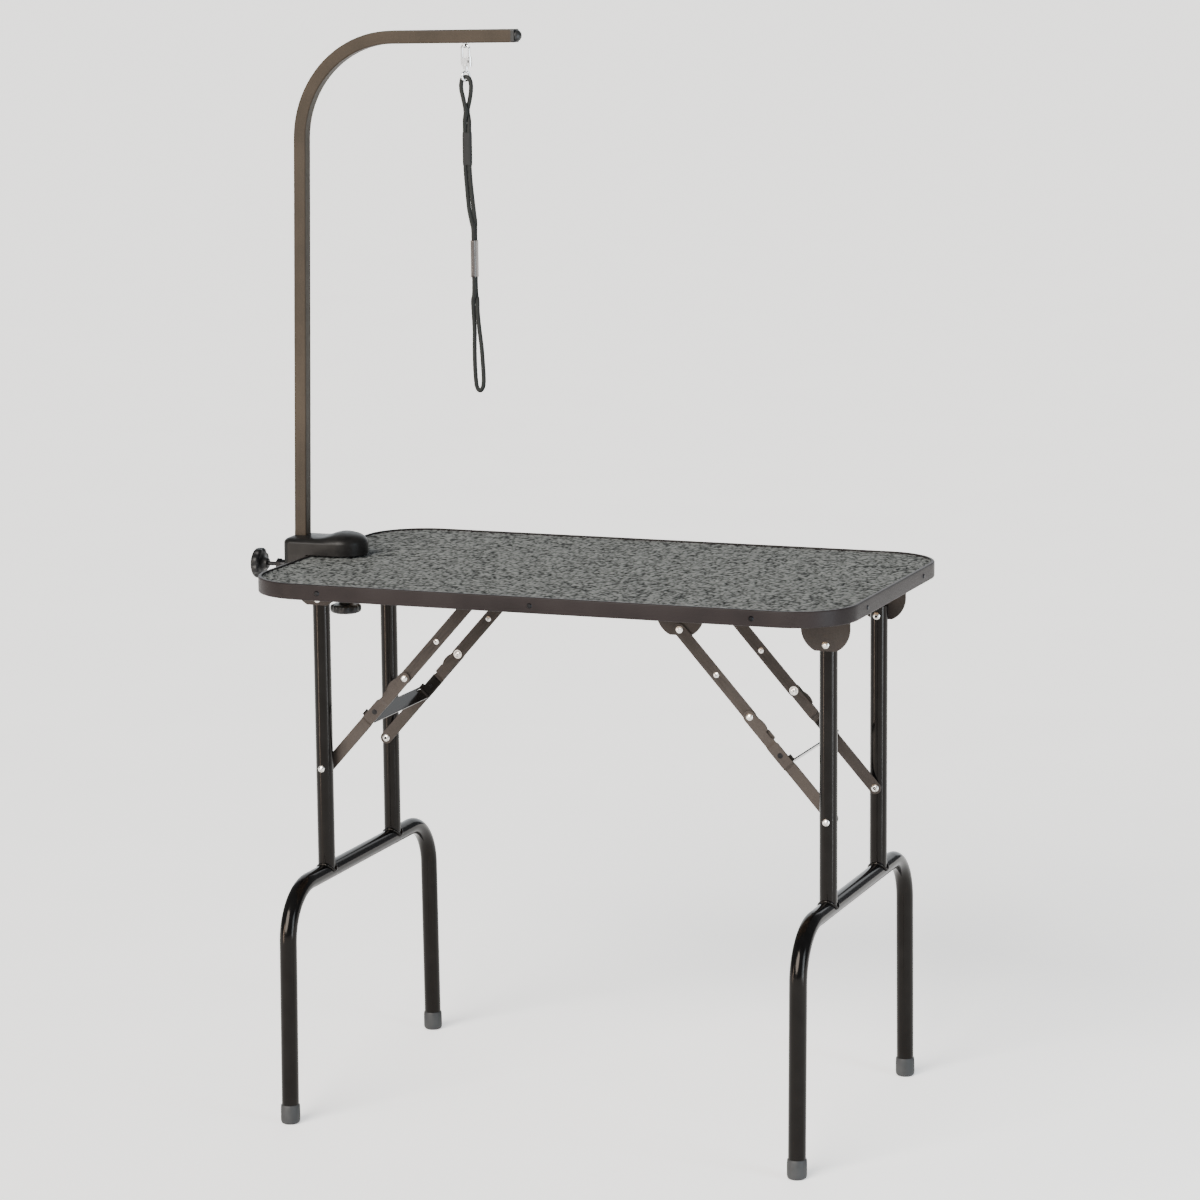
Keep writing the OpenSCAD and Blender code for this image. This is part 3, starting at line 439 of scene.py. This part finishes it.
def make_rim():
    """The pressed steel channel round the board: a wall with a lip over the mat and a flange below."""
    low, high = (corner.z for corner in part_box("edge_rim"))
    wall, lip, flange, lower_t = 2 * MM, 5 * MM, 9 * MM, 1.6 * MM
    bend, edge = 1.9 * MM, 0.6 * MM
    section = arc(bend, low + bend, bend, 270, 180, 6)
    section += arc(bend, high - bend, bend, 180, 90, 6)
    section += arc(lip - edge, high - edge, edge, 90, 0, 3)
    section += [(lip, high - wall), (wall, high - wall), (wall, low + lower_t), (flange, low + lower_t)]
    section += [(flange, low)]
    rings = [[(*(point - d * normal), z) for d, z in section] for point, normal in rim_outline(0)]
    Shape().rings(rings, loop=True).piece("rim_channel", "table_top", "rim_paint", "edge_rim")


def make_mat():
    """The rubber sheet, its top creased into soft cells like leather."""
    noise.seed_set(1)  # unseeded, noise_vector takes its offsets from the clock
    low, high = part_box("mat")
    half_l, half_w = high.x, high.y
    corner = 87.5 * MM
    columns, rows = 470, 282
    relief, cell_size, edge_width = 1.8 * MM, 9 * MM, 6 * MM

    def half_width(x):
        past = max(0.0, abs(x) - (half_l - corner))
        return half_w - corner + math.sqrt(max(0.0, corner ** 2 - past ** 2))

    def crease(x, y):
        """Height of the leather-like relief, 0 in a crease to 1 on a ridge."""
        p = Vector((x, y, 0)) / cell_size
        p += 0.7 * noise.noise_vector(p * 0.6) + 0.25 * noise.noise_vector(p * 2.3)
        near, _ = noise.voronoi(p)
        cell = min(1.0, (near[1] - near[0]) * 3.0)
        roll = 0.5 + 0.5 * noise.noise(p * 1.7 + Vector((5, 3, 1)))
        fold = 1 - abs(noise.noise(p * 0.9 + Vector((2, 7, 4)))) * 2
        return max(0.0, min(1.0, 0.62 * cell * (2 - cell) + 0.3 * roll + 0.2 * fold - 0.1))

    shape = Shape()
    for i in range(columns + 1):
        x = half_l * (2 * i / columns - 1)
        wide = half_width(x)
        for j in range(rows + 1):
            y = wide * (2 * j / rows - 1)
            inside = min(1.0, min(wide - abs(y), half_l - abs(x)) / edge_width)
            shape.verts.append((x, y, high.z - relief * inside * (1 - crease(x, y))))
    across = rows + 1
    shape.faces = [(a, a + across, a + across + 1, a + 1)
                   for i in range(columns) for j in range(rows) for a in (i * across + j,)]
    edge = list(range(rows + 1)) + [i * across + rows for i in range(1, columns + 1)]
    edge += [columns * across + j for j in range(rows - 1, -1, -1)]
    edge += [i * across for i in range(columns - 1, 0, -1)]
    base = len(shape.verts)
    shape.verts += [(shape.verts[v][0], shape.verts[v][1], low.z) for v in edge]
    n = len(edge)
    shape.faces += [(edge[k], edge[(k + 1) % n], base + (k + 1) % n, base + k) for k in range(n)]
    shape.faces.append(tuple(range(base, base + n)))
    sheet = shape.piece("mat_sheet", "table_top", "mat", "mat")
    # The relief height is kept for the material, which paints shade into the creases and a highlight onto the
    # ridges.
    shade = sheet.data.attributes.new("crease", "FLOAT", "POINT")
    for vertex, value in zip(sheet.data.vertices, shade.data):
        value.value = crease(vertex.co.x, vertex.co.y)


make_rim()
make_mat()


# ---------- clamp cover and knobs ----------

def make_cover():
    """The plastic cover: a rounded block round the arm that swells into a dome over the screw."""
    low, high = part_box("clamp_cover")
    skirt_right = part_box("clamp_frame")[0].x + 36 * MM
    mid = (low.y + high.y) / 2
    r = (high.y - low.y) / 2
    screw_x = high.x - r
    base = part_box("jaw_pad")[1].z + 0.4 * MM
    wall_top, block_top = high.z - 17 * MM, high.z - 8 * MM
    crown, blend = 3 * MM, 7 * MM
    corner, fillet, wall = 12 * MM, 12 * MM, 2.5 * MM

    def outline(inset):
        c = corner - inset
        x0, y1 = low.x + inset, r - inset
        left = arc(x0 + c, y1 - c, c, 180, 90, 10)
        front = arc(x0 + c, c - y1, c, 270, 180, 10)
        top_edge = [(x0 + c + (screw_x - x0 - c) * k / 14, y1) for k in range(1, 14)]
        dome = arc(screw_x, 0, y1, 90, -90, 60)
        return [Vector((x, mid + y)) for x, y in
                left + top_edge + dome + [(x, -y) for x, y in reversed(top_edge)] + front]

    def inside(x, y):
        y = abs(y - mid)
        if x > screw_x:
            return r - math.hypot(x - screw_x, y)
        dx, dy = x - low.x, r - y
        if dx < corner and dy < corner:
            return corner - math.hypot(corner - dx, corner - dy)
        return min(dx, dy)

    def top(x, y):
        """Height of the crowned block and the dome, melted into each other."""
        d = min(1.0, max(0.0, inside(x, y) / fillet))
        crest = block_top - crown * ((y - mid) / r) ** 2
        block = wall_top + (crest - wall_top) * math.sqrt(1 - (1 - d) ** 2)
        along, across = (x - screw_x) / r, min(1.0, abs(y - mid) / r)
        if along > 0:
            swell = (1 - min(1.0, math.hypot(along, across)) ** 2.3) ** 0.55
        else:
            swell = (1 - across ** 2.3) ** 0.55 * (0.5 + 0.5 * math.cos(math.pi * min(1.0, -along / 1.5)))
        dome = wall_top + (high.z - wall_top) * swell
        near = abs(block - dome)
        return min(high.z, max(block, dome) + max(0.0, blend - near) ** 2 / (4 * blend) * d)

    # The top closes in from the wall to a spine along the middle, finest at the rounded edge.
    outer, inner = outline(0), outline(wall)
    spine = [Vector((min(screw_x, max(low.x + 24 * MM, p.x)), mid)) for p in outer]
    rings = [[(p.x, p.y, wall_top - 2.5 * MM) for p in inner], [(p.x, p.y, base) for p in inner]]
    rings += [[(p.x, p.y, z) for p in outer] for z in (base, base + 0.6 * MM, (base + wall_top) / 2)]
    for t in (0, .004, .012, .025, .045, .07, .1, .14, .19, .25, .32, .4, .5, .6, .7, .8, .9, 1):
        ring = [p.lerp(q, t) for p, q in zip(outer, spine)]
        rings.append([(p.x, p.y, top(p.x, p.y)) for p in ring])
    shape = Shape().rings(rings, ends=False)
    shape.faces.append(tuple(range(len(outer) - 1, -1, -1)))
    cover = shape.piece("cover_shell", "clamp", "cover_plastic", "clamp_cover")
    carve(cover, arm_bore(0.4 * MM))

    # The skirt hangs down outside the rim, open towards the table, with a hole for the lock's boss.
    turn_x, turn_y = low.x + corner, r - corner
    wall_line = [(skirt_right, r)]
    wall_line += arc(turn_x, turn_y, corner, 90, 180, 8)
    wall_line += arc(turn_x, -turn_y, corner, 180, 270, 8)
    wall_line += [(skirt_right, -r), (skirt_right, wall - r)]
    wall_line += arc(turn_x, -turn_y, corner - wall, 270, 180, 8)
    wall_line += arc(turn_x, turn_y, corner - wall, 180, 90, 8)
    wall_line += [(skirt_right, r - wall)]
    skirt = Shape().rings([[(x, mid + y, z) for x, y in wall_line] for z in (low.z, base)]) \
        .piece("cover_skirt", "clamp", "cover_plastic")
    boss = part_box("lock_boss")
    hole_start = Vector((low.x - 5 * MM, mid, (boss[0].z + boss[1].z) / 2))
    hole_r, hole_depth = 7.6 * MM, 12 * MM
    hole = Matrix.Translation(hole_start) @ Matrix.Rotation(math.pi / 2, 4, "Y")
    carve(skirt, Shape().lathe([(hole_r, 0), (hole_r, hole_depth)], hole))


def arm_bore(clearance):
    """A square bar round the arm's upright, from below the cover to above it."""
    axis = Vector(joints["arm_height"]["axis"])
    low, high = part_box("arm_foot_plug")
    start = (low + high) / 2 + 20 * MM * axis
    half = (high.y - low.y) / 2 + clearance
    side = Vector((0, 1, 0))
    across = axis.cross(side).normalized()
    return Shape().rings([[start + axis * d + half * (u * across + v * side)
                           for u, v in ((1, 1), (-1, 1), (-1, -1), (1, -1))] for d in (0, 110 * MM)])


def make_knob(name, node, body, turn):
    """A fluted knob whose hub faces local +Z, where the node's box ends."""
    low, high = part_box(node)
    middle = (low + high) / 2
    hub = Vector((high.x, middle.y, middle.z)) if turn else Vector((middle.x, middle.y, high.z))
    big = (high.y - low.y) / 2 + 0.4 * MM
    place = Matrix.Translation(hub) @ (Matrix.Rotation(math.pi / 2, 4, "Y") if turn else Matrix.Identity(4))

    def fluted(angle, r, z):
        """The radius, less eight flutes that fade out towards the hub and the rounded face."""
        flutes, depth = 8, 2.4 * MM
        lobe = (0.5 + 0.5 * math.cos(flutes * angle)) ** 1.6
        grip = max(0.0, min(1.0, (r / big - 0.55) / 0.4)) * max(0.0, min(1.0, (z / MM + 19) / 6))
        return r - depth * lobe * grip * grip * (3 - 2 * grip)

    # Shares of the largest radius, with depths in millimetres: hub, shoulder, grip and rounded face.
    profile = [(0, 0), (.30, 0), (.34, -.6), (.37, -3), (.42, -6), (.52, -7.6), (.74, -8),
               (.88, -8.3), (.95, -9.1), (.985, -10.4), (1, -12.4), (1, -15), (.99, -16.8),
               (.965, -18.2), (.92, -19.3), (.85, -20.2), (.74, -21), (.6, -21.5), (.44, -21.8),
               (.28, -21.95), (0, -22)]
    Shape().lathe([(max(share * big, 1e-7), z * MM) for share, z in profile], place, 144, fluted) \
        .piece(name, body, "knob_plastic", node)


make_cover()
make_knob("clamp_knob_fluted", "clamp_knob", "clamp_handle", False)
make_knob("lock_knob_fluted", "lock_knob", "lock_handle", True)


# ---------- feet and welds ----------

def make_feet(side):
    """The two rubber caps of a leg, flat underneath and leaning with the tube."""
    low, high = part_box(f"{side}_feet")
    r = (high.x - low.x) / 2
    splay = math.radians(1.2)
    profile = [(0, 0), (.62, 0), (.80, .5), (.92, 1.8), (.98, 4), (1, 7), (1, 20), (.985, 25), (.965, 27.6),
               (.93, 28.6), (.90, 28.8), (.80, 28.8), (0, 28.8)]
    shape = Shape()
    for sign, y in ((1, high.y - r), (-1, low.y + r)):
        lean = Matrix.Identity(4)
        lean[1][2] = -sign * math.tan(splay)
        place = Matrix.Translation(((low.x + high.x) / 2, y, low.z)) @ lean
        shape.lathe([(max(share * r, 1e-7), z * MM) for share, z in profile], place, 64)
    shape.piece(f"{side}_rubber_feet", f"{side}_leg", "foot_rubber", f"{side}_feet")


def make_welds(side):
    """A rippled bead round the foot of each upright, where it sits on the cross tube."""
    low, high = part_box(f"{side}_uprights")
    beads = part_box(f"{side}_weld_beads")
    r = (high.x - low.x) / 2
    bar_z = (beads[0].z + beads[1].z) / 2 - 0.72 * r
    out, bead_r, steps = r + 0.5 * MM, 2.1 * MM, 160

    def ripple(along, _):
        """Close scales from the torch, on a slow wander."""
        scales = 0.28 * MM * abs(math.sin(along * math.pi / (2.6 * MM)))
        return scales + 0.3 * MM * math.sin(along * 260)

    shape = Shape()
    for y in (low.y + r, high.y - r):
        centre = Vector(((low.x + high.x) / 2, y, bar_z))
        ring = []
        for k in range(steps):
            a = 2 * math.pi * k / steps
            rise = math.sqrt(math.sin(a) ** 2 + 0.03)
            ring.append(centre + out * Vector((math.cos(a), math.sin(a), rise)))
        shape.sweep(ring, bead_r, 12, loop=True, relief=ripple)
    shape.piece(f"{side}_welds", f"{side}_leg", "leg_paint", f"{side}_weld_beads")


def islands(node):
    """The boxes of a node's separate solids, as pairs of corners."""
    b = bmesh.new()
    b.from_mesh(nodes[node].data)
    bmesh.ops.remove_doubles(b, verts=b.verts, dist=1e-6)
    left, found = set(b.verts), []
    for first in b.verts:
        if first not in left:
            continue
        left.remove(first)
        front, solid = [first], []
        while front:
            vert = front.pop()
            solid.append(vert.co)
            for edge in vert.link_edges:
                other = edge.other_vert(vert)
                if other in left:
                    left.remove(other)
                    front.append(other)
        found.append([Vector(pick(co[i] for co in solid) for i in range(3)) for pick in (min, max)])
    b.free()
    return found


def make_rivet_ends(node, body, hole, inner_only=True):
    """A rolled lip round a hollow, as on semi-tubular rivets, on the inner or all ends; the near-black disc in
    each hollow is painted shade.
    """
    lips, hollow_shade_discs = Shape(), Shape()
    lip = [(1, -.5), (1, .08), (1.05, .2), (1.18, .26), (1.36, .2), (1.6, 0), (1.65, -.5)]
    hollow = [(.01, -.4), (1, -.4), (1, .1), (.8, .02), (.01, -.02)]
    for low, high in islands(node):
        middle = (low + high) / 2
        for y, turn in ((low.y, math.pi / 2), (high.y, -math.pi / 2)):
            if inner_only and abs(y) > abs(middle.y):
                continue
            place = Matrix.Translation((middle.x, y, middle.z)) @ Matrix.Rotation(turn, 4, "X")
            lips.lathe([(r * hole, z * MM) for r, z in lip], place, 24)
            # A near-black disc in each hollow: painted shade standing for the rivet's shadowed hole.
            hollow_shade_discs.lathe([(r * hole, z * MM) for r, z in hollow], place, 20)
    lips.piece(f"{node}_lips", body, "rivet_steel")
    hollow_shade_discs.piece(f"{node}_hollows", body, "dark_screw")


RIVET_HOLE, STUD_HOLE = 2.1 * MM, 0.9 * MM
for side in SIDES:
    make_feet(side)
    make_welds(side)
    make_rivet_ends(f"{side}_bracket_rivets", "table_top", RIVET_HOLE)
    make_rivet_ends(f"{side}_brace_rivets", f"{side}_leg", RIVET_HOLE)
    make_rivet_ends(f"{side}_knuckle_rivets", f"{side}_lower", RIVET_HOLE)
    make_rivet_ends(f"{side}_link_studs", f"{side}_upper", STUD_HOLE, inner_only=False)


# ---------- edges of the pressed, cut and moulded CAD parts ----------

for name, width in {"arm_end_cap": 0.5, "arm_foot_plug": 0.5, "clamp_frame": 0.6,
                    "swivel_pad": 0.5, "snap_body": 0.3}.items():
    soften(name, width * MM)
for side in SIDES:
    for part in ("leg_brackets", "brace_brackets", "upper_links", "lower_links", "cross_plate"):
        soften(f"{side}_{part}", 0.35 * MM)


# ---------- floor and light ----------

def make_floor():
    """A plain pale floor that reaches past the horizon and glows a little, like a lit sweep."""
    s = Shader("floor")
    tone = s.blend((0.82, 0.82, 0.81), (0.85, 0.85, 0.84), s.noise(3, 2))
    bpy.ops.mesh.primitive_plane_add(size=400)
    floor = bpy.context.object
    floor.name = "floor"
    floor.data.materials.append(s.finish(Base_Color=tone, Roughness=0.9, Specular_IOR_Level=0.1,
                                         Emission_Color=(1.0, 1.0, 1.0, 1.0), Emission_Strength=0.75))


def lamp(name, kind, at, power, colour, **shape):
    """A light at a point, turned towards the middle of the table."""
    light = bpy.data.lights.new(name, kind)
    light.energy, light.color = power, colour
    for key, value in shape.items():
        setattr(light, key, value)
    made = bpy.data.objects.new(name, light)
    made.location = at
    made.rotation_euler = (Vector((0, 0, 0.8)) - Vector(at)).to_track_quat("-Z", "Y").to_euler()
    bpy.context.scene.collection.objects.link(made)


def make_world():
    """Dim, even and slightly cool light from all round."""
    world = bpy.data.worlds.new("studio")
    world.use_nodes = True
    background = world.node_tree.nodes["Background"]
    background.inputs["Color"].default_value = (0.92, 0.96, 1.0, 1)
    background.inputs["Strength"].default_value = 0.32
    bpy.context.scene.world = world


make_floor()
make_world()
PANEL = {"shape": "RECTANGLE"}
lamp("key", "SUN", (-1.0, -4.9, 3.5), 8.2, (1.0, 0.95, 0.89), angle=math.radians(40))
lamp("back", "SUN", (-1.6, 4.9, 2.6), 1.3, (0.93, 0.97, 1.0), angle=math.radians(60))
lamp("warm_strip", "AREA", (-1.8, -1.9, 0.5), 17, (1.0, 0.80, 0.66), size=0.16, size_y=1.0, **PANEL)
lamp("cool_strip", "AREA", (2.0, -0.5, 0.45), 8, (0.80, 0.91, 1.0), size=0.1, size_y=0.9, **PANEL)
lamp("cool_panel", "AREA", (3.6, -1.3, 1.0), 100, (0.74, 0.88, 1.0), size=1.3, size_y=2.4, **PANEL)
